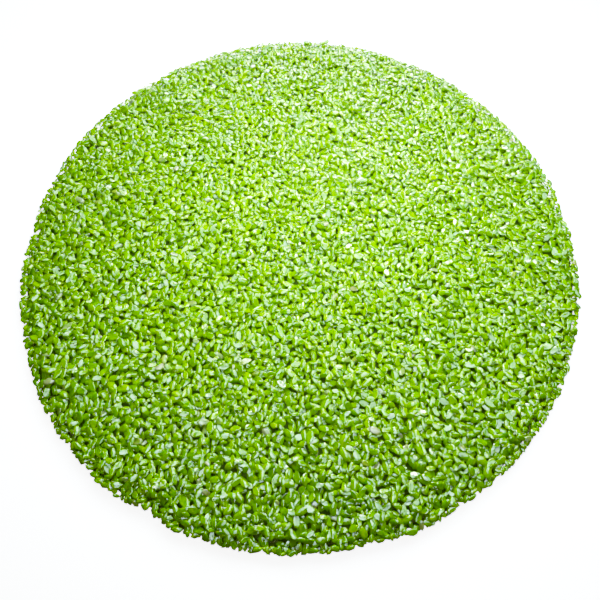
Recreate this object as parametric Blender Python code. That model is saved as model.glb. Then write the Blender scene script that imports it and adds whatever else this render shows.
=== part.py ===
"""A round mat of duckweed, lifted off the water and laid on a flat surface.

The mat is 200 mm across. Below is the felt of fine roots, which carries everything. On it
lies the bed of crowded fronds, one solid whose top is a field of oval lumps, each as large
as one small plant of three or four fronds. Loose plants, each a few fronds grown together
at one node, lie on the bed and lean over its rim.

Units are metres, +Z is up, and the origin is the middle of the felt's flat underside.
"""

import math
import random

import bmesh
import bpy
from mathutils import Matrix, Vector, noise
from mathutils.bvhtree import BVHTree
from mathutils.geometry import delaunay_2d_cdt

# Driving dimensions
MAT_RADIUS = 0.100
FELT_HEIGHT = 0.0030
BED_HEIGHT = 0.0034
FROND_LENGTH = 0.0039
CONTACT_GAP = 0.0003

# Outline of the mat
OUTLINE_SWAY = 0.0009
TOOTH_DEPTH = 0.0022
RIM_POINTS = 132

# Felt of roots
FELT_SIDES = 88
FELT_INSET = 0.0030
FELT_RIDGE = 0.0008
FELT_BULGE = 0.0009

# Bed of fronds
BED_BOTTOM = FELT_HEIGHT + CONTACT_GAP
BED_TOP = BED_BOTTOM + BED_HEIGHT
BED_FOOT_INSET = 0.0018
RIM_HEIGHT = BED_BOTTOM + 0.30 * BED_HEIGHT
CREST_DROP = 0.30 * BED_HEIGHT
VALLEY_HEIGHT = BED_BOTTOM + 0.38 * BED_HEIGHT
VALLEY_RISE = 0.14 * BED_HEIGHT
LUMP_COUNT = 720
LUMP_FIELD_RADIUS = MAT_RADIUS - 0.0045
LUMP_JITTER = 0.0011
CREST_LENGTH = 0.0030
MERGE_DISTANCE = 1e-6

# Loose plants
BED_PLANTS = 18
BED_PLANT_FIELD = MAT_RADIUS - 0.0170
BED_PLANT_JITTER = 0.0040
BED_PLANT_TILT = math.radians(9)
RIM_PLANTS = 6
RIM_PLANT_INSET = 0.0044
RIM_PLANT_TILT = math.radians(13)
FROND_WIDTH = 0.60 * FROND_LENGTH
FROND_THICKNESS = 0.28 * FROND_LENGTH
FROND_SIDES = 8
FROND_BANDS = 3
DAUGHTER_TURN = math.radians(118)
NODE_OVERLAP = 0.16

GOLDEN_ANGLE = math.pi * (3 - math.sqrt(5))

# Colours in linear RGB
BED_GREEN = (0.17, 0.42, 0.015)
ROOT_BROWN = (0.20, 0.17, 0.07)
PLANT_GREENS = [(0.24, 0.50, 0.02), (0.15, 0.38, 0.015), (0.33, 0.55, 0.05), (0.21, 0.33, 0.06)]


def clear_scene():
    for old in list(bpy.data.objects):
        bpy.data.objects.remove(old, do_unlink=True)


def make_material(name, colour, roughness):
    material = bpy.data.materials.new(name)
    material.use_nodes = True
    material.diffuse_color = (*colour, 1.0)
    surface = material.node_tree.nodes["Principled BSDF"]
    surface.inputs["Base Color"].default_value = (*colour, 1.0)
    surface.inputs["Roughness"].default_value = roughness
    surface.inputs["Metallic"].default_value = 0.0
    return material


def add_object(name, mesh, material, collection):
    mesh.materials.clear()
    mesh.materials.append(material)
    thing = bpy.data.objects.new(name, mesh)
    collection.objects.link(thing)
    return thing


def spiral_point(index, count, radius):
    """Point number index of count, spread evenly over a disc along a sunflower spiral."""
    reach = radius * math.sqrt((index + 0.5) / count)
    turn = index * GOLDEN_ANGLE
    return Vector((reach * math.cos(turn), reach * math.sin(turn)))


def jitter(rng, size):
    return Vector((rng.uniform(-size, size), rng.uniform(-size, size)))


def outline_radius(turn):
    """Radius of the mat's edge, which sways a little from a true circle."""
    sway = math.sin(2 * turn + 0.6) + 0.7 * math.sin(3 * turn + 2.1) + 0.5 * math.sin(5 * turn)
    return MAT_RADIUS - TOOTH_DEPTH / 4 + OUTLINE_SWAY * sway / 2.2


def ring_point(turn, radius, height=0.0):
    return Vector((radius * math.cos(turn), radius * math.sin(turn), height))


def make_root_felt(collection):
    """The felt of roots: a flat disc whose side is ridged by the threads that hang out of it."""
    shape = bmesh.new()
    bmesh.ops.create_cone(
        shape,
        cap_ends=True,
        segments=FELT_SIDES,
        radius1=MAT_RADIUS,
        radius2=MAT_RADIUS,
        depth=FELT_HEIGHT,
    )
    bmesh.ops.translate(shape, verts=shape.verts, vec=(0, 0, FELT_HEIGHT / 2))
    for corner in shape.verts:
        turn = math.atan2(corner.co.y, corner.co.x)
        side = round(turn / math.tau * FELT_SIDES)
        ridge = FELT_RIDGE if side % 2 else 0.0
        bulge = FELT_BULGE * (0.5 + noise.noise(Vector((side * 0.7, 3.1, 0.0))))
        foot = bulge if corner.co.z < FELT_HEIGHT / 2 else 0.0
        radius = outline_radius(turn) - FELT_INSET - ridge + foot
        corner.co = ring_point(turn, radius, corner.co.z)
    mesh = bpy.data.meshes.new("root_felt")
    shape.to_mesh(mesh)
    shape.free()
    material = make_material("root_felt", ROOT_BROWN, 0.8)
    return add_object("root_felt", mesh, material, collection)


def lump_points(rng):
    """The crests and the valleys of the bed, as points with heights, and each crest's line."""
    centres = [
        spiral_point(index, LUMP_COUNT, LUMP_FIELD_RADIUS) + jitter(rng, LUMP_JITTER)
        for index in range(LUMP_COUNT)
    ]
    points = []
    lines = []
    for centre in centres:
        turn = rng.uniform(0, math.pi)
        half = Vector((math.cos(turn), math.sin(turn))) * CREST_LENGTH / 2
        lines.append((len(points), len(points) + 1))
        for end in (centre - half, centre + half):
            points.append((*end, BED_TOP - rng.uniform(0, CREST_DROP)))
    corners, _, cells, *_ = delaunay_2d_cdt(centres, [], [], 0, MERGE_DISTANCE)
    for cell in cells:
        middle = sum((corners[corner] for corner in cell), Vector((0, 0))) / len(cell)
        points.append((*middle, VALLEY_HEIGHT + rng.uniform(0, VALLEY_RISE)))
    return points, lines


def rim_points(rng):
    """The bed's edge: frond tips that stand out as teeth, with notches between them."""
    points = []
    for index in range(RIM_POINTS):
        turn = math.tau * (index + rng.uniform(-0.2, 0.2)) / RIM_POINTS
        notch = TOOTH_DEPTH if index % 2 else 0.25 * TOOTH_DEPTH
        radius = outline_radius(turn) + TOOTH_DEPTH / 4 - notch * rng.uniform(0.3, 1.0)
        height = RIM_HEIGHT + rng.uniform(0, VALLEY_RISE)
        points.append(tuple(ring_point(turn, radius, height)))
    return points


def inside_rim(point, rim):
    """True where a point lies well inside the bed's edge."""
    turn = math.atan2(point[1], point[0]) % math.tau
    nearest = rim[round(turn / math.tau * RIM_POINTS) % RIM_POINTS]
    return math.hypot(point[0], point[1]) < math.hypot(nearest[0], nearest[1]) - TOOTH_DEPTH / 2


def make_frond_bed(rng, collection):
    """The crowded fronds: a lumpy top over the ragged rim, closed by a flat underside."""
    lumps, lines = lump_points(rng)
    rim = rim_points(rng)
    kept = {}
    points = list(rim)
    for index, point in enumerate(lumps):
        if inside_rim(point, rim):
            kept[index] = len(points)
            points.append(point)
    edge = [(index, (index + 1) % len(rim)) for index in range(len(rim))]
    crests = [(kept[a], kept[b]) for a, b in lines if a in kept and b in kept]
    flat = [Vector(point[:2]) for point in points]
    corners, _, faces, sources, *_ = delaunay_2d_cdt(flat, edge + crests, [], 1, MERGE_DISTANCE)

    shape = bmesh.new()
    for corner, source in zip(corners, sources):
        height = points[source[0]][2] if source else VALLEY_HEIGHT
        shape.verts.new((*corner, height))
    shape.verts.ensure_lookup_table()
    for face in faces:
        shape.faces.new([shape.verts[corner] for corner in face])
    border = [side for side in shape.edges if side.is_boundary]
    wall = bmesh.ops.extrude_edge_only(shape, edges=border)["geom"]
    foot = [part for part in wall if isinstance(part, bmesh.types.BMVert)]
    for corner in foot:
        turn = math.atan2(corner.co.y, corner.co.x)
        radius = min(corner.co.xy.length, outline_radius(turn) - TOOTH_DEPTH / 4) - BED_FOOT_INSET
        corner.co = ring_point(turn, radius, BED_BOTTOM)
    foot_edges = [part for part in wall if isinstance(part, bmesh.types.BMEdge)]
    bmesh.ops.edgeloop_fill(shape, edges=foot_edges)
    bmesh.ops.recalc_face_normals(shape, faces=shape.faces)
    mesh = bpy.data.meshes.new("frond_bed")
    shape.to_mesh(mesh)
    shape.free()
    material = make_material("frond_bed", BED_GREEN, 0.45)
    return add_object("frond_bed", mesh, material, collection)


def frond_mesh(length, turn, lift):
    """One frond: a thick egg-shaped leaf, its narrow end at the plant's node."""
    shape = bmesh.new()
    bmesh.ops.create_uvsphere(shape, u_segments=FROND_SIDES, v_segments=FROND_BANDS, radius=0.5)
    scale = length / FROND_LENGTH
    for corner in shape.verts:
        along, across, up = corner.co
        narrowing = 1.0 + 0.35 * along
        corner.co = Vector((
            length * (along + 0.5 - NODE_OVERLAP),
            FROND_WIDTH * scale * across * narrowing,
            FROND_THICKNESS * scale * up * 1.1 + lift,
        ))
    bmesh.ops.rotate(shape, verts=shape.verts, matrix=Matrix.Rotation(turn, 3, "Z"))
    mesh = bpy.data.meshes.new("frond")
    shape.to_mesh(mesh)
    shape.free()
    return mesh


def united(meshes):
    """One closed mesh from several overlapping ones."""
    scene_root = bpy.context.scene.collection
    things = [bpy.data.objects.new("frond", mesh) for mesh in meshes]
    for thing in things:
        scene_root.objects.link(thing)
    first = things[0]
    for other in things[1:]:
        union = first.modifiers.new("union", "BOOLEAN")
        union.operation = "UNION"
        union.object = other
    graph = bpy.context.evaluated_depsgraph_get()
    whole = bpy.data.meshes.new_from_object(first.evaluated_get(graph))
    for thing in things:
        bpy.data.objects.remove(thing, do_unlink=True)
    return whole


def plant_mesh(rng):
    """A plant of two to four fronds: the mother frond and its daughters around one node."""
    daughters = rng.choice([1, 2, 2, 3])
    meshes = [frond_mesh(FROND_LENGTH * rng.uniform(0.92, 1.08), 0.0, 0.0)]
    for index in range(daughters):
        side = 1 if index % 2 == 0 else -1
        turn = side * DAUGHTER_TURN * rng.uniform(0.85, 1.1) if index < 2 else math.pi
        size = rng.uniform(0.72, 0.95) if index < 2 else rng.uniform(0.45, 0.6)
        lift = FROND_THICKNESS * (0.12 + 0.12 * index)
        meshes.append(frond_mesh(FROND_LENGTH * size, turn, lift))
    return united(meshes)


def plant_places(rng):
    """Where the loose plants lie, each with its yaw and the tilt about a level axis."""
    places = []
    for index in range(BED_PLANTS):
        spot = spiral_point(index, BED_PLANTS, BED_PLANT_FIELD) + jitter(rng, BED_PLANT_JITTER)
        tilt = rng.uniform(0.2, 1.0) * BED_PLANT_TILT
        places.append((spot, rng.uniform(0, math.tau), tilt, rng.uniform(0, math.tau)))
    for index in range(RIM_PLANTS):
        turn = math.tau * (index + rng.uniform(0.2, 0.8)) / RIM_PLANTS
        spot = ring_point(turn, outline_radius(turn) - RIM_PLANT_INSET).xy
        level_axis = turn + math.pi / 2
        places.append((spot, rng.uniform(0, math.tau), RIM_PLANT_TILT, level_axis))
    return places


def rest_height(mesh, bed_tree, bed_mesh):
    """How far a plant at the origin's height must rise to lie on the bed without touching it."""
    far_above = Vector((0, 0, 1.0))
    down = Vector((0, 0, -1.0))
    corners = [corner.co for corner in mesh.vertices]
    need = []
    for corner in corners:
        hit = bed_tree.ray_cast(corner + far_above, down)[0]
        if hit:
            need.append(hit.z - corner.z)
    plant_tree = BVHTree.FromPolygons(corners, [tuple(face.vertices) for face in mesh.polygons])
    low = Vector((min(c.x for c in corners), min(c.y for c in corners)))
    high = Vector((max(c.x for c in corners), max(c.y for c in corners)))
    for corner in bed_mesh.vertices:
        if low.x < corner.co.x < high.x and low.y < corner.co.y < high.y:
            hit = plant_tree.ray_cast(corner.co - far_above, -down)[0]
            if hit:
                need.append(corner.co.z - hit.z)
    return max(need) + CONTACT_GAP


def make_loose_plants(rng, bed, collection):
    """The loose plants, each laid on the bed where it meets the highest frond under it."""
    graph = bpy.context.evaluated_depsgraph_get()
    bed_tree = BVHTree.FromObject(bed, graph)
    for index, (spot, yaw, tilt, axis_turn) in enumerate(plant_places(rng)):
        mesh = plant_mesh(rng)
        axis = Vector((math.cos(axis_turn), math.sin(axis_turn), 0))
        lean = Matrix.Rotation(tilt, 4, axis) @ Matrix.Rotation(yaw, 4, "Z")
        mesh.transform(Matrix.Translation((*spot, 0)) @ lean)
        rise = rest_height(mesh, bed_tree, bed.data)
        mesh.transform(Matrix.Translation((-spot.x, -spot.y, 0)))
        name = f"plant_{index + 1:02d}"
        green = PLANT_GREENS[index % len(PLANT_GREENS)]
        mesh.name = name
        plant = add_object(name, mesh, make_material(name, green, 0.4), collection)
        plant.location = (*spot, rise)


def main():
    clear_scene()
    collection = bpy.data.collections.new("duckweed")
    bpy.context.scene.collection.children.link(collection)
    make_root_felt(collection)
    bed = make_frond_bed(random.Random(11), collection)
    make_loose_plants(random.Random(5), bed, collection)


main()
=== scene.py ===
"""The looks of a round mat of duckweed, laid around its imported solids.

The bed of fronds is made here frond by frond. Small plants of one to four fronds are dropped
one after another onto a field of heights, each into a low spot, and every frond settles with
its own tilt on what lies under it. Below the fronds is the felt of roots with its threads.

Units are metres, +Z is up, the viewer is towards -Y, and the frame is the one of the solids.
"""

import math

import bpy
import numpy as np
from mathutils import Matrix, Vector


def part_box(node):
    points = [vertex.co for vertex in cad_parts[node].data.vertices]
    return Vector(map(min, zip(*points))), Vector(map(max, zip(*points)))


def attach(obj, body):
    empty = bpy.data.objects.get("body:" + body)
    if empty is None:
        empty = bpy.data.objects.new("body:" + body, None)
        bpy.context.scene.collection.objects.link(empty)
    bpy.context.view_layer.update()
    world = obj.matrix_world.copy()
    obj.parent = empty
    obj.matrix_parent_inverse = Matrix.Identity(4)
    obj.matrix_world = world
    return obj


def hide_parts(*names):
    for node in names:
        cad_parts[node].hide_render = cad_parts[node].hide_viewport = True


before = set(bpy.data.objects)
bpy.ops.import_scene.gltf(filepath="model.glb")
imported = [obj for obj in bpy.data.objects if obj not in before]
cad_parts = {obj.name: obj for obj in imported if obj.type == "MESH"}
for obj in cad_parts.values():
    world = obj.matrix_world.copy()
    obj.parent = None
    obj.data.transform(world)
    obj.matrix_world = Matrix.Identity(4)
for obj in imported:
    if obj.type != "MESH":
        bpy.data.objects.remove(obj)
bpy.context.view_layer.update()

ROOT = "root"

# One seed for each thing that is laid at random
BED_SEED = 7
FELT_SEED = 21
SIDE_SEED = 31
GROUND_SEED = 41
LOOSE_SEED = 51

# The fronds: FROND_LENGTH is the usual length of a plant's first frond in the middle of the
# mat, the width and thickness are shares of a frond's length, and FROND_GROWTH is the share by
# which fronds are longer for each metre towards the viewer
FROND_LENGTH = 0.00325
FROND_LENGTH_SPREAD = 0.16
SHORTEST_SHARE = 0.7
FROND_GROWTH = 1.3
FROND_WIDTH_SHARE = 0.52
FROND_THICKNESS_SHARE = 0.28
TONE_SPREAD = 0.15

# A plant: a mother frond with up to three daughters. The first two sit at its sides, and a
# third lies opposite to it and is smaller. NODE_REACH is how far a frond's middle lies from
# the point where the plant has grown together, as a share of the frond's length
DAUGHTERS = [0, 1, 2, 3]
DAUGHTER_CHANCES = [0.15, 0.4, 0.35, 0.1]
SIDE_DAUGHTERS = 2
DAUGHTER_TURN = math.radians(115)
DAUGHTER_TURN_SPREAD = math.radians(18)
DAUGHTER_SIZES = (0.72, 1.0)
THIRD_SIZE = 0.7
NODE_REACH = 0.40

# How many fronds are wanted under the surface and in it, and tried in the band at the rim.
# HOLLOW_SHARE of the surface's fronds go into the hollows that the others have left, and the
# laying stops early where MOST_MISSES fronds have found no rest
UNDER_COUNT = 3900
UPPER_COUNT = 13000
RIM_UNDER_COUNT = 800
RIM_UPPER_COUNT = 480
HOLLOW_SHARE = 0.42
MOST_MISSES = 12000
UPPER_PIECES = 5
# The fronds under the surface are paler: partly the pale colour of old fronds, partly painted light
# that lifts the shade in the gaps between the fronds on top
UNDER_PALE_AND_LIT = 0.5

# The heap that the fronds are laid into: a grid of cells, in blocks of BLOCK cells a side.
# LOOSE_SINK is how far fronds may reach above the lowest point of a loose plant
CELL = 0.00025
BLOCK = 5
GRID_MARGIN = 0.003
WINDOW_MARGIN = 2
BLOCKS_TRIED = 24
FEWEST_CELLS = 8
HEAP_TOP = 0.0078
FELT_RISE = 0.0003
LOOSE_SINK = 0.0002

# How a frond settles: the share of the heap's slope that it takes on, its own tilt, the
# steepest slope, the share of the cells under it that lie below it, and what its bulge adds
# below and above its middle
TILT_FOLLOW = 0.7
TILT_NOISE = 0.18
TILT_MOST = 0.9
SETTLE_SHARE = 0.84
BULGE_BELOW = 0.5
BULGE_ABOVE = 0.42

# The rim, where floor and ceiling of the heap come down over a slope. A block is open to
# fronds where more than OPEN_SHARE of its cells lie further in than RIM_BARE
RIM_SECTORS = 72
RIM_SLOPE_WIDTH = 0.0055
RIM_FLOOR = 0.0012
RIM_TOP = 0.0038
RIM_BARE = 0.0007
OPEN_SHARE = 0.6
OVERHANG = 0.0003
RIM_RAGGED = 0.0005
RIM_BAND = 0.0026
RIM_LENGTH_SHARE = 0.95
RIM_LENGTH_SPREAD = 0.12

# The columns of a laid frond's row
X, Y, Z, YAW, SLOPE_X, SLOPE_Y, LENGTH, TONE = range(8)

# A frond's rings from the middle of its top to the middle of its underside: each ring's share
# of the outline, its height as a share of the thickness, how far its normal leans out from
# straight up in degrees, and its radius in the bake picture. The last two
# say how much the height and the lean change in a frond that is dished in the middle.
UPPER_RINGS = [
    (0.0, 0.42, 0, 0.0, -0.10, 0),
    (0.55, 0.38, 9, 0.42, -0.02, -15),
    (0.84, 0.20, 27, 0.74, 0.07, -13),
    (1.0, -0.10, 76, 1.0, 0.0, 0),
    (0.0, -0.5, 180, 0.0, 0.0, 0),
]
UNDER_RINGS = [
    (0.0, 0.45, 0, 0.0, 0.0, 0),
    (0.82, 0.22, 35, 0.75, 0.0, 0),
    (0.92, -0.25, 115, 1.0, 0.0, 0),
    (0.0, -0.5, 180, 0.0, 0.0, 0),
]
UPPER_SIDES = 9
UNDER_SIDES = 6
TEMPLATES = 14

# How the frond templates differ: how much wider one end is than the other, how far the
# outline bends to a side, how far the ends hang, how deep the middle is dished, and how
# uneven the skin's lean and height are
EGG = (0.06, 0.24)
BEND = 0.07
SAG = (-0.12, 0.06)
DISH = (-1.0, 1.2)
SKIN_WOBBLE = 0.08
SKIN_ROUGH = 0.006

# A frond's cell in the bake picture: where the middles of its top and of its underside lie,
# and half of their width and length
TOP_MIDDLE = 0.25
UNDERSIDE_MIDDLE = 0.75
PICTURE_HALF_WIDTH = 0.21
PICTURE_HALF_LENGTH = 0.43

# The felt of roots: FELT_LIFT is how far it stands clear of what the mat lies on, and SKIRT
# is where its skirt ends, as a distance from the bed's edge
FELT_SECTORS = 160
FELT_LIFT = 0.00018
FELT_TOP_SPAN = (0.04, 0.94)
FELT_TOP_RINGS = 26
FELT_FOOT_SHARES = (0.85, 0.7, 0.5, 0.3, 0.12)
FELT_MIDDLE_DIP = 0.0002
FELT_ROUGH = 0.00025
FELT_FOOT_ROUGH = 0.00004
FELT_SMOOTH_SHARE = 0.2
SKIRT = -0.0013

# The threads: OFF_AXIS is a direction that none of them follows
THREAD_RADIUS = 0.00007
THREAD_STEPS = 6
THREAD_SIDES = 3
THREAD_TAPER = [0.5, 1.0, 0.8, 0.3]
CORNER_TURN = 0.5
OFF_AXIS = [0.13, 0.21, 0.97]

# The threads over the felt's side: how they drift and lean around the mat, where they start
# as a share of the felt's height, how far out of its side they lie, and how far their toes
# spread at most
SIDE_THREADS = 1700
SIDE_DRIFT = 0.005
SIDE_LEAN = 0.03
SIDE_STARTS = (0.5, 1.0)
SIDE_FALL = 1.3
SIDE_LOWEST = THREAD_RADIUS * 1.2
SIDE_INSET = 0.0006
SIDE_SPREAD = 0.0012
SIDE_WAVER = 0.0002
SIDE_TOES = 0.0011
SIDE_THICKNESSES = (0.7, 1.3)

# The threads under the felt: how far from the middle they start at most, how they curl, how
# long their steps are, and how much of the gap under the felt they take
GROUND_THREADS = 900
GROUND_REACH = 0.088
GROUND_CURL = 0.35
GROUND_PACES = (0.0012, 0.0035)
GROUND_EDGE_SHARE = 0.985
GROUND_LOWEST = THREAD_RADIUS * 1.1
GROUND_GAP_SHARE = 0.7
GROUND_THICKNESSES = (0.7, 1.0)

# The skin of the loose plants
LOOSE_VOXEL = 0.0002
LOOSE_EASE = 0.5
LOOSE_EASE_ROUNDS = 8

# Ramps of place and colour. A frond is an odd one where its number is past ODD_START
FROND_GREENS = [
    (0.00, (0.112, 0.270, 0.0002)),
    (0.35, (0.144, 0.334, 0.0003)),
    (0.70, (0.178, 0.396, 0.0004)),
    (1.00, (0.222, 0.464, 0.0012)),
]
ODD_START = 0.988
ODD_COLOURS = [
    (ODD_START, (0.27, 0.38, 0.03)),
    (0.993, (0.25, 0.38, 0.09)),
    (0.997, (0.27, 0.36, 0.12)),
    (0.9995, (0.31, 0.32, 0.12)),
]
FROND_MOTTLE = [(0.35, (0.84, 0.86, 0.8)), (0.65, (1.12, 1.08, 1.1))]
ROOT_AGES = [
    (0.0, (0.16, 0.11, 0.045)),
    (0.5, (0.30, 0.25, 0.11)),
    (1.0, (0.50, 0.48, 0.26)),
]
ROOT_MOTTLE = [(0.3, (0.7, 0.7, 0.7)), (0.7, (1.15, 1.15, 1.15))]
FELT_STRANDS = [(0.35, (0.07, 0.055, 0.022)), (0.65, (0.24, 0.20, 0.09))]
# Painted shade: the felt's top under the bed is coloured near-black green for the shade that falls
# in the gaps between the fronds
FELT_PAINTED_SHADE = [(0.35, (0.02, 0.045, 0.001)), (0.7, (0.06, 0.12, 0.003))]

# The photograph's view: the optical axis dips by this angle, with this focal length in pixels
CAMERA_DIP = math.radians(71)
FOCAL_PIXELS = 400
FRAME_PIXELS = 600
SENSOR_MM = 36
MAT_HALF_HEIGHT_PIXELS = 262
CLIP_START = 0.001

# The studio: a floor out to a radius, a bend of another radius, and a wall up to a height
STUDIO_FLOOR = 1.0
STUDIO_BEND = 0.5
STUDIO_BEND_STEPS = 12
STUDIO_TOP = 3.0
STUDIO_DROP = 0.0003
STUDIO_SECTORS = 96

# The light. Each panel has a name, a place, the point that it faces, a width, a height, a
# brightness and a colour. The skies only show as reflections in the fronds' wax, and the
# fills only light the fronds.
WORLD_COLOUR = (1.0, 0.91, 0.86, 1.0)
WORLD_STRENGTH = 0.18
PALE_BLUE = (0.74, 0.94, 1.0)
PALE = (0.80, 0.94, 1.0)
WHITE = (1.0, 0.98, 0.95)
SKIES = [
    ("sky_back_1", (0.005, 0.20, 0.15), (-0.02, 0.04, 0.0), 0.056, 0.32, 11.5, PALE_BLUE),
    ("sky_back_2", (0.09, 0.20, 0.15), (0.02, 0.04, 0.0), 0.038, 0.32, 11.5, PALE_BLUE),
    ("sky_top_1", (0.0, -0.04, 0.24), (0.0, -0.04, 0.0), 0.115, 0.44, 9.2, PALE_BLUE),
    ("sky_top_2", (0.127, -0.04, 0.24), (0.06, -0.04, 0.0), 0.125, 0.44, 9.2, PALE_BLUE),
    ("glint_1", (0.01, 0.16, 0.12), (0.0, 0.05, 0.0), 0.030, 0.030, 60.0, WHITE),
    ("glint_2", (0.05, 0.08, 0.10), (0.0, -0.02, 0.0), 0.040, 0.040, 60.0, WHITE),
    ("edge_back", (0.0, 0.30, 0.06), (0.0, 0.0, 0.0), 0.50, 0.05, 24.0, WHITE),
]
FILLS = [
    ("fill_back", (0.02, 0.09, 0.13), (0.0, 0.06, 0.0), 0.28, 0.13, 3.5, PALE_BLUE),
    ("fill_top", (0.01, 0.020, 0.085), (0.01, 0.020, 0.0), 0.135, 0.12, 7.25, PALE),
]

# The tone of the picture: how soon bright places are held back, and the light that is white.
# Weak blue is held back too: the photograph's greens have next to none
SHOULDER = 1.1
WHITE_POINT = 2.4
CURVE_SHARES = (0.02, 0.06, 0.12, 0.2, 0.3, 0.42, 0.56, 0.72, 0.87)
BLUE_TOE = [(0.0094, 0.0004), (0.0188, 0.0038), (0.0376, 0.019), (0.075, 0.063), (0.12, 0.117)]
BLUE_CURVE, COMBINED_CURVE = 2, 3

# The sockets of the mix node for colours
MIX_FACTOR, MIX_FIRST, MIX_SECOND = 0, 6, 7
MIX_RESULT = 2


def rim_profile(node):
    """The radius of a solid's edge around the mat, by sector."""
    spots = np.array([v.co for v in node.data.vertices])
    turn = np.arctan2(spots[:, 1], spots[:, 0]) % math.tau
    reach = np.hypot(spots[:, 0], spots[:, 1])
    sector = (turn / math.tau * RIM_SECTORS).astype(int) % RIM_SECTORS
    return np.array([reach[sector == s].max() for s in range(RIM_SECTORS)])


def rim_radius(profile, x, y):
    """The radius of the edge in the direction of each point."""
    sectors = len(profile)
    place = (np.arctan2(y, x) % math.tau) / math.tau * sectors - 0.5
    low = np.floor(place).astype(int)
    share = place - low
    return profile[low % sectors] * (1 - share) + profile[(low + 1) % sectors] * share


class Heap:
    """The heights of what has been laid so far, on a square grid of cells over the mat."""

    def __init__(self, profile, floor_height):
        self.profile = profile
        self.half = int((profile.max() + GRID_MARGIN) / CELL / BLOCK + 1) * BLOCK
        steps = (np.arange(2 * self.half) - self.half + 0.5) * CELL
        self.x, self.y = np.meshgrid(steps, steps, indexing="ij")
        radius = np.hypot(self.x, self.y)
        edge = rim_radius(profile, self.x, self.y)
        share = np.clip((edge - radius) / RIM_SLOPE_WIDTH, 0, 1)
        self.ground = RIM_FLOOR + (floor_height - RIM_FLOOR) * share
        self.height = self.ground.copy()
        self.ceiling = RIM_TOP + (HEAP_TOP - RIM_TOP) * share
        blocks = 2 * self.half // BLOCK
        inside = (radius < edge - RIM_BARE).astype(float)
        self.open = inside.reshape(blocks, BLOCK, blocks, BLOCK).mean((1, 3)) > OPEN_SHARE
        self.laid = np.where(self.open, 0.0, 1.0)

    def window(self, x, y, reach):
        """The slices of the grid within reach of a point."""
        a = int(round(x / CELL)) + self.half
        b = int(round(y / CELL)) + self.half
        n = int(reach / CELL) + WINDOW_MARGIN
        return slice(max(a - n, 0), a + n + 1), slice(max(b - n, 0), b + n + 1)

    def settle(self, x, y, yaw, length, nudge):
        """Where a frond comes to rest: its height and slopes, and the top that it would give.
        None where it would stand out of the heap or the grid."""
        part = self.window(x, y, 0.5 * length)
        dx, dy = self.x[part] - x, self.y[part] - y
        along = dx * math.cos(yaw) + dy * math.sin(yaw)
        across = dy * math.cos(yaw) - dx * math.sin(yaw)
        half_length, half_width = 0.5 * length, 0.5 * length * FROND_WIDTH_SHARE
        q = (along / half_length) ** 2 + (across / half_width) ** 2
        under = q < 1
        fx, fy, held = dx[under], dy[under], self.height[part][under]
        if held.size < FEWEST_CELLS:
            return None
        lean = held - held.mean()
        slope_x = TILT_FOLLOW * (fx * lean).sum() / (fx * fx).sum() + nudge[0]
        slope_y = TILT_FOLLOW * (fy * lean).sum() / (fy * fy).sum() + nudge[1]
        steep = math.hypot(slope_x, slope_y)
        if steep > TILT_MOST:
            slope_x, slope_y = slope_x * TILT_MOST / steep, slope_y * TILT_MOST / steep
        bulge = np.sqrt(1 - q[under]) * length * FROND_THICKNESS_SHARE
        plane = slope_x * fx + slope_y * fy
        need = held - plane + BULGE_BELOW * bulge
        need.sort()
        rest = need[int(SETTLE_SHARE * (need.size - 1))]
        top = rest + plane + BULGE_ABOVE * bulge
        if (top > self.ceiling[part][under]).any():
            return None
        return rest, slope_x, slope_y, part, under, top

    def lay(self, part, under, top):
        """Raises the heap under a frond, and brings the blocks' laid heights up to date."""
        here = self.height[part]
        here[under] = np.maximum(here[under], top)
        a0, a1 = part[0].start // BLOCK, -(-part[0].stop // BLOCK)
        b0, b1 = part[1].start // BLOCK, -(-part[1].stop // BLOCK)
        cells = np.s_[a0 * BLOCK:a1 * BLOCK, b0 * BLOCK:b1 * BLOCK]
        rise = self.height[cells] - self.ground[cells]
        rise = rise.reshape(rise.shape[0] // BLOCK, BLOCK, -1, BLOCK).mean((1, 3))
        self.laid[a0:a1, b0:b1] = np.where(self.open[a0:a1, b0:b1], rise, 1.0)

    def keep_clear_under(self, node):
        """Lowers the ceiling where a loose plant lies."""
        spots = np.array([v.co for v in node.data.vertices])
        low, high = spots.min(0), spots.max(0)
        inside = (self.x > low[0]) & (self.x < high[0]) & (self.y > low[1]) & (self.y < high[1])
        self.ceiling[inside] = np.minimum(self.ceiling[inside], low[2] + LOOSE_SINK)

    def block_spot(self, block, rng):
        """A random point in a block."""
        return tuple((np.array(block) + rng.uniform(0, 1, 2)) * BLOCK * CELL - self.half * CELL)

    def low_spot(self, rng):
        """A point in the least covered of a few random blocks."""
        blocks = rng.integers(0, self.laid.shape[0], (BLOCKS_TRIED, 2))
        best = blocks[self.laid[blocks[:, 0], blocks[:, 1]].argmin()]
        return self.block_spot(best, rng)

    def hollow(self, rng):
        """A point in the least covered block of all, which isn't tried twice."""
        best = np.unravel_index(self.laid.argmin(), self.laid.shape)
        self.laid[best] = 1.0
        return self.block_spot(best, rng)


def plant_fronds(rng, usual):
    """The fronds of one plant: offset of each frond's middle, its yaw and its length."""
    heading = rng.uniform(0, math.tau)
    mother = usual * max(SHORTEST_SHARE, rng.normal(1.0, FROND_LENGTH_SPREAD))
    turns = [0.0]
    sizes = [mother]
    side = rng.choice([-1, 1])
    for index in range(rng.choice(DAUGHTERS, p=DAUGHTER_CHANCES)):
        at_side = index < SIDE_DAUGHTERS
        turn = side * DAUGHTER_TURN if at_side else math.pi
        turns.append(turn + rng.normal(0, DAUGHTER_TURN_SPREAD))
        sizes.append(mother * rng.uniform(*DAUGHTER_SIZES) * (1.0 if at_side else THIRD_SIZE))
        side = -side
    for turn, size in zip(turns, sizes):
        yaw = heading + turn
        reach = NODE_REACH * size
        yield reach * math.cos(yaw), reach * math.sin(yaw), yaw, size


def usual_length(y):
    """How long a frond is at a place: they are larger at the near side than at the far side."""
    return FROND_LENGTH * (1.0 - FROND_GROWTH * y)


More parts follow.
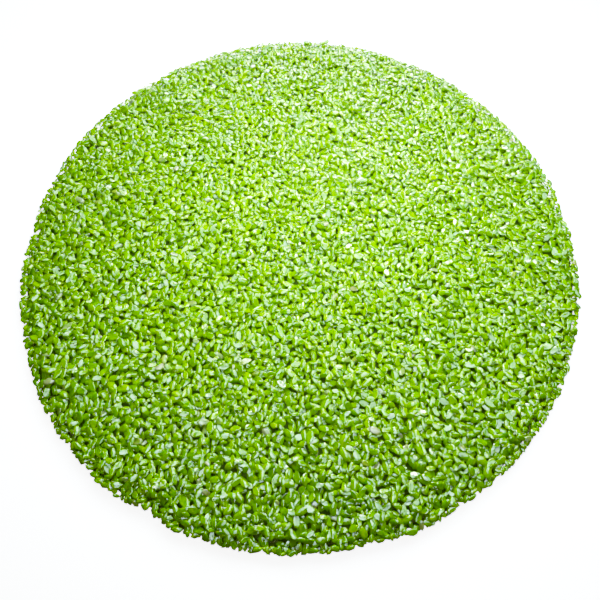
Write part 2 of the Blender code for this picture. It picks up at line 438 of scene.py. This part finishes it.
def outward_reach(x, y, yaw, length):
    """How far a frond reaches from its middle, away from the middle of the mat."""
    turn = yaw - math.atan2(y, x)
    return 0.5 * length * math.hypot(math.cos(turn), FROND_WIDTH_SHARE * math.sin(turn))


def lay_one(heap, rng, spot, yaw, length, tone):
    """The row of one frond laid on the heap, or None where it finds no rest. A frond that
    would reach past the mat's edge is pulled back to it."""
    x, y = spot
    radius = math.hypot(x, y)
    room = float(rim_radius(heap.profile, x, y)) + OVERHANG - outward_reach(x, y, yaw, length)
    if radius > room:
        pulled = (room - rng.uniform(0, RIM_RAGGED)) / radius
        x, y = x * pulled, y * pulled
    found = heap.settle(x, y, yaw, length, rng.normal(0, TILT_NOISE, 2))
    if found is None:
        return None
    rest, slope_x, slope_y, part, under, top = found
    heap.lay(part, under, top)
    shade = min(max(tone + rng.normal(0, TONE_SPREAD), 0.0), 1.0)
    return x, y, rest, yaw, slope_x, slope_y, length, shade


def lay_fronds(heap, rng, count, find_spot):
    """Rows of fronds, laid plant by plant."""
    rows = []
    misses = 0
    while len(rows) < count and misses < MOST_MISSES:
        x, y = find_spot(rng)
        tone = rng.uniform(0, 1)
        for dx, dy, yaw, length in plant_fronds(rng, usual_length(y)):
            row = lay_one(heap, rng, (x + dx, y + dy), yaw, length, tone)
            if row is None:
                misses += 1
            else:
                rows.append(row)
    return np.array(rows)


def lay_rim(heap, rng, count):
    """Rows of single fronds all around, in the band next to the edge."""
    rows = []
    for index in range(count):
        turn = (index + rng.uniform(0, 1)) / count * math.tau
        x, y = math.cos(turn), math.sin(turn)
        yaw = rng.uniform(0, math.tau)
        radius = float(rim_radius(heap.profile, x, y)) - rng.uniform(0, RIM_BAND)
        length = usual_length(radius * y) * rng.normal(RIM_LENGTH_SHARE, RIM_LENGTH_SPREAD)
        row = lay_one(heap, rng, (radius * x, radius * y), yaw, length, rng.uniform(0, 1))
        if row is not None:
            rows.append(row)
    return np.array(rows)


def frond_template(rng, rings, sides):
    """One frond of length 1 along +X, as triangles, each triangle's corners in the bake
    picture, points and normals. The narrow end is at -X."""
    turn = np.arange(sides) / sides * math.tau
    egg = 1 + rng.uniform(*EGG) * np.cos(turn)
    bend = rng.uniform(-BEND, BEND)
    ring_x = 0.5 * np.cos(turn)
    ring_y = 0.5 * FROND_WIDTH_SHARE * egg * np.sin(turn) + bend * (np.cos(turn) ** 2 - 0.5)
    sag = rng.uniform(*SAG)
    dish = rng.uniform(*DISH)
    out_x, out_y = np.cos(turn) * FROND_WIDTH_SHARE, np.sin(turn)
    out_length = np.hypot(out_x, out_y)
    points, pictures, normals = [], [], []
    for share, height, lean, picture, rise, turn_in in rings:
        count = 1 if share == 0 else sides
        lean = math.radians(lean + turn_in * dish) + rng.normal(0, SKIN_WOBBLE, count)
        x, y = ring_x[:count] * share, ring_y[:count] * share
        z = FROND_THICKNESS_SHARE * (height + rise * dish) + sag * x * x
        z = z + rng.normal(0, SKIN_ROUGH, count)
        points.append(np.stack([x, y, z], 1))
        nx, ny = (out_x / out_length)[:count], (out_y / out_length)[:count]
        normals.append(np.stack([nx * np.sin(lean), ny * np.sin(lean), np.cos(lean)], 1))
        pictures.append(np.stack([np.cos(turn)[:count], np.sin(turn)[:count]], 1) * picture)
    starts = np.cumsum([0] + [len(p) for p in points])
    last = len(rings) - 1
    triangles, corners = [], []

    def add(*spots):
        """One triangle between three points, each given as its ring and its place in it."""
        triangles.append([starts[r] + i for r, i in spots])
        middle = UNDERSIDE_MIDDLE if any(r == last for r, _ in spots) else TOP_MIDDLE
        place = [pictures[r][i] for r, i in spots]
        corners.append([[middle + PICTURE_HALF_WIDTH * s[1], 0.5 + PICTURE_HALF_LENGTH * s[0]]
                        for s in place])

    for i in range(sides):
        j = (i + 1) % sides
        add((0, 0), (1, i), (1, j))
        for ring in range(1, last - 1):
            add((ring, i), (ring + 1, i), (ring + 1, j))
            add((ring, i), (ring + 1, j), (ring, j))
        add((last - 1, i), (last, 0), (last - 1, j))
    return np.array(triangles), np.array(corners), np.concatenate(points), np.concatenate(normals)


def frond_axes(rows):
    """The three axes of each frond, from its yaw and slopes, as columns of a matrix."""
    yaw = rows[:, YAW]
    up = np.stack([-rows[:, SLOPE_X], -rows[:, SLOPE_Y], np.ones(len(rows))], 1)
    up /= np.linalg.norm(up, axis=1, keepdims=True)
    flat = np.stack([np.cos(yaw), np.sin(yaw), np.zeros(len(rows))], 1)
    along = flat - up * (flat * up).sum(1, keepdims=True)
    along /= np.linalg.norm(along, axis=1, keepdims=True)
    return np.stack([along, np.cross(up, along), up], 2)


def new_mesh_object(name, points, faces):
    """A smooth-shaded mesh of the points and faces, linked to the scene."""
    mesh = bpy.data.meshes.new(name)
    mesh.from_pydata(points.tolist(), [], faces.tolist())
    mesh.shade_smooth()
    thing = bpy.data.objects.new(name, mesh)
    bpy.context.scene.collection.objects.link(thing)
    return thing


def ring_faces(rings, sectors, first, last=None):
    """The triangles between rings of points that follow each other, closed by the point
    `first` inside the first ring and, where it is given, by `last` inside the last one."""
    faces = []
    base = (rings - 1) * sectors
    for i in range(sectors):
        j = (i + 1) % sectors
        faces.append((first, i, j))
        if last is not None:
            faces.append((last, base + j, base + i))
        for ring in range(rings - 1):
            a, b = ring * sectors, (ring + 1) * sectors
            faces.append((a + i, b + i, b + j))
            faces.append((a + i, b + j, a + j))
    return np.array(faces)


def add_value(mesh, name, values):
    """A number at every point of the mesh, which the materials read by name."""
    layer = mesh.attributes.new(name, "FLOAT", "POINT")
    layer.data.foreach_set("value", np.asarray(values, np.float32))


def finish_piece(thing, node_name, material):
    """Gives a piece its material, ties it to the root's body, and hides the solid that it stands
    for.
    """
    thing.data.materials.clear()
    thing.data.materials.append(material)
    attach(thing, ROOT)
    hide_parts(node_name)


def build_frond_piece(name, rows, templates, material, rng, pale_and_lit=0.0):
    """One mesh with all the fronds of the rows, each with its own cell in the bake map."""
    count = len(rows)
    kind = rng.integers(0, len(templates), count)
    triangles, corners = templates[0][:2]
    shapes, leans = (np.stack([t[k] for t in templates])[kind] for k in (2, 3))
    axes = frond_axes(rows)
    points = np.einsum("nij,nvj->nvi", axes, shapes * rows[:, LENGTH][:, None, None])
    points = points + rows[:, None, [X, Y, Z]]
    per_frond = points.shape[1]
    faces = triangles[None] + (np.arange(count) * per_frond)[:, None, None]
    thing = new_mesh_object(name, points.reshape(-1, 3), faces.reshape(-1, 3))
    mesh = thing.data
    normals = np.einsum("nij,nvj->nvi", axes, leans)
    mesh.normals_split_custom_set_from_vertices(normals.reshape(-1, 3).tolist())

    side = math.ceil(math.sqrt(count))
    cell = np.stack([np.arange(count) % side, np.arange(count) // side], 1)
    layer = mesh.uv_layers.new(name="OFBake")
    corners = corners.reshape(1, -1, 2) + cell[:, None, :]
    layer.data.foreach_set("uv", (corners / side).astype(np.float32).ravel())

    # The under fronds' tone is raised towards pale: partly the pale colour of old fronds, partly
    # painted light that lifts the shade in the gaps
    add_value(mesh, "tone", np.repeat(rows[:, TONE] * (1 - pale_and_lit) + pale_and_lit, per_frond))
    add_value(mesh, "odd", np.repeat(rng.uniform(0, 1, count), per_frond))
    finish_piece(thing, "frond_bed", material)


class Nodes:
    """A small helper that adds nodes to one material and wires them."""

    def __init__(self, name):
        self.material = bpy.data.materials.new(name)
        self.material.use_nodes = True
        self.tree = self.material.node_tree
        self.surface = self.tree.nodes["Principled BSDF"]

    def add(self, kind, **settings):
        node = self.tree.nodes.new(kind)
        for key, value in settings.items():
            setattr(node, key, value)
        return node

    def link(self, source, target):
        self.tree.links.new(source, target)

    def value(self, name):
        """The number that add_value has put on the mesh under this name."""
        return self.add("ShaderNodeAttribute", attribute_name=name).outputs["Fac"]

    def ramp(self, factor, stops):
        node = self.add("ShaderNodeValToRGB")
        points = node.color_ramp.elements
        while len(points) < len(stops):
            points.new(0.5)
        for point, (place, colour) in zip(points, stops):
            point.position = place
            point.color = (*colour, 1.0)
        self.link(factor, node.inputs["Fac"])
        return node.outputs["Color"]

    def mix(self, factor, first, second, blend="MIX"):
        node = self.add("ShaderNodeMix", data_type="RGBA", blend_type=blend)
        if isinstance(factor, bpy.types.NodeSocket):
            self.link(factor, node.inputs[MIX_FACTOR])
        else:
            node.inputs[MIX_FACTOR].default_value = factor
        self.link(first, node.inputs[MIX_FIRST])
        self.link(second, node.inputs[MIX_SECOND])
        return node.outputs[MIX_RESULT]

    def is_past(self, number, limit):
        """1 where a number is greater than a limit, and otherwise 0."""
        node = self.add("ShaderNodeMath", operation="GREATER_THAN")
        self.link(number, node.inputs[0])
        node.inputs[1].default_value = limit
        return node.outputs[0]

    def noise(self, scale, detail):
        node = self.add("ShaderNodeTexNoise")
        node.inputs["Scale"].default_value = scale
        node.inputs["Detail"].default_value = detail
        coordinates = self.add("ShaderNodeTexCoord")
        self.link(coordinates.outputs["Object"], node.inputs["Vector"])
        return node.outputs["Fac"]

    def bump(self, height, strength, distance):
        node = self.add("ShaderNodeBump")
        node.inputs["Strength"].default_value = strength
        node.inputs["Distance"].default_value = distance
        self.link(height, node.inputs["Height"])
        self.link(node.outputs["Normal"], self.surface.inputs["Normal"])

    def set(self, **values):
        for key, value in values.items():
            self.surface.inputs[key.replace("_", " ")].default_value = value


def frond_material():
    """Waxy leaf: greens that differ from frond to frond, with a few faded ones."""
    nodes = Nodes("duckweed_frond")
    greens = nodes.ramp(nodes.value("tone"), FROND_GREENS)
    odd_colour = nodes.ramp(nodes.value("odd"), ODD_COLOURS)
    is_odd = nodes.is_past(nodes.value("odd"), ODD_START)
    colour = nodes.mix(is_odd, greens, odd_colour)
    mottle = nodes.ramp(nodes.noise(scale=900.0, detail=3.0), FROND_MOTTLE)
    colour = nodes.mix(1.0, colour, mottle, "MULTIPLY")
    nodes.link(colour, nodes.surface.inputs["Base Color"])
    nodes.set(Roughness=0.04, IOR=1.5, Specular_IOR_Level=0.6)
    nodes.set(Subsurface_Weight=0.75, Subsurface_Radius=(0.6, 1.0, 0.1), Subsurface_Scale=0.0020)
    nodes.bump(nodes.noise(scale=1500.0, detail=2.0), strength=0.25, distance=0.0001)
    return nodes.material


def root_material():
    """Thin threads, pale where they are young and brown where they are old."""
    nodes = Nodes("duckweed_root")
    ages = nodes.ramp(nodes.value("tone"), ROOT_AGES)
    mottle = nodes.ramp(nodes.noise(scale=1400.0, detail=3.0), ROOT_MOTTLE)
    nodes.link(nodes.mix(1.0, ages, mottle, "MULTIPLY"), nodes.surface.inputs["Base Color"])
    nodes.set(Roughness=0.6)
    return nodes.material


def felt_material():
    """The pressed roots: brown at the side and below. Where the bed covers them, their top
    is painted near-black green: painted shade for the gaps between the fronds.
    """
    nodes = Nodes("root_felt_skin")
    strands = nodes.ramp(nodes.noise(scale=1100.0, detail=5.0), FELT_STRANDS)
    # Painted shade on the covered top, mixed in by how much the bed covers the felt
    top = nodes.ramp(nodes.noise(scale=700.0, detail=3.0), FELT_PAINTED_SHADE)
    nodes.link(nodes.mix(nodes.value("covered"), strands, top), nodes.surface.inputs["Base Color"])
    nodes.set(Roughness=0.85, Specular_IOR_Level=0.2)
    nodes.bump(nodes.noise(scale=1500.0, detail=4.0), strength=0.7, distance=0.0002)
    return nodes.material


def build_bed(material):
    """The bed of fronds: the ones under the surface, then the ones that show."""
    rng = np.random.default_rng(BED_SEED)
    profile = rim_profile(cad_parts["frond_bed"])
    heap = Heap(profile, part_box("root_felt")[1].z + FELT_RISE)
    for name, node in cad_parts.items():
        if name.startswith("plant_"):
            heap.keep_clear_under(node)
    under = lay_fronds(heap, rng, UNDER_COUNT, heap.low_spot)
    under = np.concatenate([under, lay_rim(heap, rng, RIM_UNDER_COUNT)])
    scattered = lay_fronds(heap, rng, int(UPPER_COUNT * (1 - HOLLOW_SHARE)), heap.low_spot)
    rim = lay_rim(heap, rng, RIM_UPPER_COUNT)
    filling = lay_fronds(heap, rng, int(UPPER_COUNT * HOLLOW_SHARE), heap.hollow)
    templates = [frond_template(rng, UNDER_RINGS, UNDER_SIDES) for _ in range(TEMPLATES)]
    build_frond_piece("fronds_under", under, templates, material, rng, pale_and_lit=UNDER_PALE_AND_LIT)
    templates = [frond_template(rng, UPPER_RINGS, UPPER_SIDES) for _ in range(TEMPLATES)]
    upper = rng.permutation(np.concatenate([scattered, rim, filling]))
    for index in range(UPPER_PIECES):
        rows = upper[index::UPPER_PIECES]
        build_frond_piece(f"fronds_{index + 1}", rows, templates, material, rng)


def felt_rings(top):
    """The felt's rings from the middle of its top to the middle of its foot, as where each
    lies, how high it is, and how much the bed covers it, which sets how much painted shade the ring
    takes and which way its bumps go. A ring lies at a share of the felt's own edge, or, below
    nought, at a distance inside the bed's."""
    return [
        *((share, top, 1.0) for share in np.linspace(*FELT_TOP_SPAN, FELT_TOP_RINGS)),
        (0.965, top - 0.0003, 1.0),
        (SKIRT - 0.0012, 0.0020, 1.0),
        (SKIRT, 0.00145, 1.0),
        (SKIRT - 0.0003, 0.0010, 0.3),
        (0.985, top * 0.3, 0.0),
        (0.995, top * 0.2, 0.0),
        (0.99, FELT_LIFT + 0.0003, 0.0),
        (0.975, FELT_LIFT, 0.0),
        *((share, FELT_LIFT, 0.0) for share in FELT_FOOT_SHARES),
    ]


def build_felt(material):
    """The felt of pressed roots: a lumpy disc that stands a little clear of its threads, with
    a thin skirt under the rim of the bed."""
    rng = np.random.default_rng(FELT_SEED)
    profile = rim_profile(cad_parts["root_felt"])
    bed_profile = rim_profile(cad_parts["frond_bed"])
    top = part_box("root_felt")[1].z
    rings = felt_rings(top)
    turn = np.arange(FELT_SECTORS) / FELT_SECTORS * math.tau
    edge = rim_radius(profile, np.cos(turn), np.sin(turn))
    bed_edge = rim_radius(bed_profile, np.cos(turn), np.sin(turn))
    # covered holds each ring's share of painted shade: near-black green under the bed, the roots'
    # own brown at the side and below
    points, covered = [], []
    for share, height, cover in rings:
        rough = FELT_ROUGH if height > 2 * FELT_LIFT else FELT_FOOT_ROUGH
        radius = edge * share if share > 0 else bed_edge + share
        is_rough = share < 0 or share > FELT_SMOOTH_SHARE
        radius = radius + rng.normal(0, rough if is_rough else 0, FELT_SECTORS)
        z = height + np.abs(rng.normal(0, rough, FELT_SECTORS)) * (-1 if cover else 1)
        points.append(np.stack([radius * np.cos(turn), radius * np.sin(turn), z], 1))
        covered.append(np.full(FELT_SECTORS, cover))
    points.append(np.array([[0, 0, top - FELT_MIDDLE_DIP], [0, 0, FELT_LIFT]]))
    covered.append(np.array([1.0, 0.0]))
    crown = len(rings) * FELT_SECTORS
    faces = ring_faces(len(rings), FELT_SECTORS, crown, crown + 1)
    felt = new_mesh_object("felt", np.concatenate(points), faces)
    add_value(felt.data, "covered", np.concatenate(covered))
    finish_piece(felt, "root_felt", material)


def thread_mesh(name, routes, radii, tones):
    """One mesh of thin threads, pointed at their ends, along the given routes."""
    count, steps = routes.shape[:2]
    ahead = np.gradient(routes, axis=1)
    ahead /= np.linalg.norm(ahead, axis=2, keepdims=True)
    side = np.cross(ahead, OFF_AXIS)
    side /= np.linalg.norm(side, axis=2, keepdims=True)
    up = np.cross(side, ahead)
    taper = np.interp(np.arange(steps), [0, 1, steps - 2, steps - 1], THREAD_TAPER)
    width = radii[:, None, None] * taper[None, :, None]
    corners = []
    for k in range(THREAD_SIDES):
        angle = math.tau * k / THREAD_SIDES + CORNER_TURN
        corners.append(routes + width * (side * math.cos(angle) + up * math.sin(angle)))
    per_thread = steps * THREAD_SIDES
    points = np.stack(corners, 2).reshape(count, per_thread, 3)
    faces = [(0, 2, 1), (per_thread - 3, per_thread - 2, per_thread - 1)]
    for s in range(steps - 1):
        for k in range(THREAD_SIDES):
            a = THREAD_SIDES * s + k
            b = THREAD_SIDES * s + (k + 1) % THREAD_SIDES
            faces += [(a, b, b + THREAD_SIDES), (a, b + THREAD_SIDES, a + THREAD_SIDES)]
    faces = np.array(faces)[None] + (np.arange(count) * per_thread)[:, None, None]
    thing = new_mesh_object(name, points.reshape(-1, 3), faces.reshape(-1, 3))
    add_value(thing.data, "tone", np.repeat(tones, per_thread))
    return thing


def build_side_threads(material):
    """The threads that hang over the felt's side and spread a little on what it lies on."""
    rng = np.random.default_rng(SIDE_SEED)
    profile = rim_profile(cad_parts["root_felt"])
    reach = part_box("root_felt")[1].z
    turn = rng.uniform(0, math.tau, SIDE_THREADS)
    share = np.linspace(0, 1, THREAD_STEPS)[None, :]
    drift = np.cumsum(rng.normal(0, SIDE_DRIFT, (SIDE_THREADS, THREAD_STEPS)), axis=1)
    lean = rng.normal(0, SIDE_LEAN, SIDE_THREADS)[:, None] * share
    angle = turn[:, None] + drift + lean
    start = rng.uniform(*SIDE_STARTS, SIDE_THREADS)[:, None] * reach
    height = np.maximum(start * (1 - share ** SIDE_FALL), SIDE_LOWEST)
    edge = rim_radius(profile, np.cos(angle), np.sin(angle))
    out = -SIDE_INSET + SIDE_SPREAD * np.sqrt(share) + rng.normal(0, SIDE_WAVER, angle.shape)
    out += rng.uniform(0, SIDE_TOES, SIDE_THREADS)[:, None] * share ** 3
    radius = edge + out
    routes = np.stack([radius * np.cos(angle), radius * np.sin(angle), height], 2)
    radii = THREAD_RADIUS * rng.uniform(*SIDE_THICKNESSES, SIDE_THREADS)
    threads = thread_mesh("side_threads", routes, radii, rng.uniform(0, 1, SIDE_THREADS))
    finish_piece(threads, "root_felt", material)


def build_ground_threads(material):
    """The threads pressed flat under the felt, which only show from below."""
    rng = np.random.default_rng(GROUND_SEED)
    profile = rim_profile(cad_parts["root_felt"])
    turn = rng.uniform(0, math.tau, GROUND_THREADS)
    reach = np.sqrt(rng.uniform(0, 1, GROUND_THREADS)) * GROUND_REACH
    heading = rng.uniform(0, math.tau, GROUND_THREADS)[:, None]
    curl = rng.normal(0, GROUND_CURL, (GROUND_THREADS, THREAD_STEPS))
    heading = heading + np.cumsum(curl, axis=1)
    pace = rng.uniform(*GROUND_PACES, GROUND_THREADS)[:, None]
    x = (reach * np.cos(turn))[:, None] + np.cumsum(pace * np.cos(heading), axis=1)
    y = (reach * np.sin(turn))[:, None] + np.cumsum(pace * np.sin(heading), axis=1)
    limit = rim_radius(profile, x, y) * GROUND_EDGE_SHARE
    shrink = np.minimum(1.0, limit / np.hypot(x, y))
    rise = rng.uniform(0, GROUND_GAP_SHARE, GROUND_THREADS)[:, None]
    z = GROUND_LOWEST + (FELT_LIFT - GROUND_LOWEST) * rise * np.ones_like(x)
    routes = np.stack([x * shrink, y * shrink, z], 2)
    radii = THREAD_RADIUS * rng.uniform(*GROUND_THICKNESSES, GROUND_THREADS)
    threads = thread_mesh("ground_threads", routes, radii, rng.uniform(0, 1, GROUND_THREADS))
    finish_piece(threads, "root_felt", material)


def build_loose_plants(material):
    """The loose plants: each solid with its facets melted into plump grown-together fronds."""
    rng = np.random.default_rng(LOOSE_SEED)
    names = sorted(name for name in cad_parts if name.startswith("plant_"))
    for name in names:
        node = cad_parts[name]
        rough = bpy.data.objects.new("rough", node.data.copy())
        rough.matrix_world = node.matrix_world
        bpy.context.scene.collection.objects.link(rough)
        skin = rough.modifiers.new("skin", "REMESH")
        skin.mode = "VOXEL"
        skin.voxel_size = LOOSE_VOXEL
        ease = rough.modifiers.new("ease", "SMOOTH")
        ease.factor = LOOSE_EASE
        ease.iterations = LOOSE_EASE_ROUNDS
        graph = bpy.context.evaluated_depsgraph_get()
        mesh = bpy.data.meshes.new_from_object(rough.evaluated_get(graph))
        mesh.transform(rough.matrix_world)
        bpy.data.objects.remove(rough, do_unlink=True)
        mesh.shade_smooth()
        thing = bpy.data.objects.new(name.replace("plant", "loose"), mesh)
        bpy.context.scene.collection.objects.link(thing)
        count = len(mesh.vertices)
        add_value(mesh, "tone", np.full(count, rng.uniform(0, 1)))
        add_value(mesh, "odd", np.zeros(count))
        finish_piece(thing, name, material)


def add_studio():
    """A plain pale floor that curves up into a round wall far off. Only the camera sees it,
    so the mat is lit by the panels and by the even light around it alone."""
    bend = np.linspace(0, math.pi / 2, STUDIO_BEND_STEPS)[1:]
    reach = [0.5 * STUDIO_FLOOR, STUDIO_FLOOR, *(STUDIO_FLOOR + STUDIO_BEND * np.sin(bend))]
    reach.append(STUDIO_FLOOR + STUDIO_BEND)
    rise = np.array([0.0, 0.0, *(STUDIO_BEND * (1 - np.cos(bend))), STUDIO_TOP]) - STUDIO_DROP
    turn = np.arange(STUDIO_SECTORS) / STUDIO_SECTORS * math.tau
    points = []
    for r, z in zip(reach, rise):
        points.append(np.stack([r * np.cos(turn), r * np.sin(turn), np.full(STUDIO_SECTORS, z)], 1))
    points.append(np.array([[0.0, 0.0, rise[0]]]))
    faces = ring_faces(len(reach), STUDIO_SECTORS, len(reach) * STUDIO_SECTORS)
    studio = new_mesh_object("studio", np.concatenate(points), faces)
    nodes = Nodes("studio")
    nodes.set(Base_Color=(0.93, 0.93, 0.93, 1.0), Roughness=0.9, Specular_IOR_Level=0.0)
    nodes.set(Emission_Color=(1.0, 1.0, 1.0, 1.0), Emission_Strength=1.6)
    studio.data.materials.append(nodes.material)
    studio.visible_diffuse = False
    studio.visible_glossy = False
    studio.visible_shadow = False


def add_camera():
    """The camera above the near part of the mat, placed so that the round mat has the
    photograph's outline: its far and near edges are at equal heights above and below the
    middle of the frame."""
    low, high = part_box("frond_bed")
    radius = 0.5 * (high.x - low.x)
    view_edge = math.atan(MAT_HALF_HEIGHT_PIXELS / FOCAL_PIXELS)
    near, far = CAMERA_DIP + view_edge, CAMERA_DIP - view_edge
    height = 2 * radius / (1 / math.tan(far) - 1 / math.tan(near))
    distance = 0.5 * height * (1 / math.tan(far) + 1 / math.tan(near))
    level = 0.5 * (low.z + high.z)
    data = bpy.data.cameras.new("camera")
    data.sensor_width = SENSOR_MM
    data.lens = FOCAL_PIXELS / FRAME_PIXELS * SENSOR_MM
    data.clip_start = CLIP_START
    camera = bpy.data.objects.new("camera", data)
    camera.location = (0, -distance, level + height)
    camera.rotation_euler = (math.pi / 2 - CAMERA_DIP, 0, 0)
    bpy.context.scene.collection.objects.link(camera)
    bpy.context.scene.camera = camera


def add_panel(name, spot, aim, width, height, brightness, colour):
    """A soft light panel at a spot, which faces another and isn't itself seen by the camera."""
    data = bpy.data.lights.new(name, "AREA")
    data.shape = "RECTANGLE"
    data.size, data.size_y = width, height
    data.energy = brightness * math.pi * width * height
    data.color = colour
    panel = bpy.data.objects.new(name, data)
    panel.location = spot
    panel.rotation_euler = (Vector(aim) - Vector(spot)).to_track_quat("-Z", "Y").to_euler()
    panel.visible_camera = False
    bpy.context.scene.collection.objects.link(panel)
    return panel


def add_light():
    """The even light around the mat, and the panels."""
    world = bpy.data.worlds.new("studio")
    bpy.context.scene.world = world
    world.use_nodes = True
    background = world.node_tree.nodes["Background"]
    background.inputs["Color"].default_value = WORLD_COLOUR
    background.inputs["Strength"].default_value = WORLD_STRENGTH
    world.cycles_visibility.glossy = False
    for row in SKIES:
        add_panel(*row).visible_diffuse = False
    for row in FILLS:
        add_panel(*row).visible_glossy = False


def set_tone():
    """Bright places are held back softly, as in the photograph, up to a white point, and so
    is the weakest blue."""
    view = bpy.context.scene.view_settings
    view.view_transform = "Standard"
    view.use_curve_mapping = True
    mapping = view.curve_mapping
    mapping.clip_max_x = WHITE_POINT
    curve = mapping.curves[COMBINED_CURVE]
    full = 1 - math.exp(-SHOULDER * WHITE_POINT)
    curve.points[-1].location = (WHITE_POINT, 1.0)
    for share in CURVE_SHARES:
        light = share * WHITE_POINT
        curve.points.new(light, (1 - math.exp(-SHOULDER * light)) / full)
    for light, shown in BLUE_TOE:
        mapping.curves[BLUE_CURVE].points.new(light, shown).handle_type = "VECTOR"
    mapping.update()


def main():
    add_camera()
    add_light()
    set_tone()
    add_studio()
    fronds = frond_material()
    build_bed(fronds)
    build_loose_plants(fronds)
    build_felt(felt_material())
    roots = root_material()
    build_side_threads(roots)
    build_ground_threads(roots)


main()
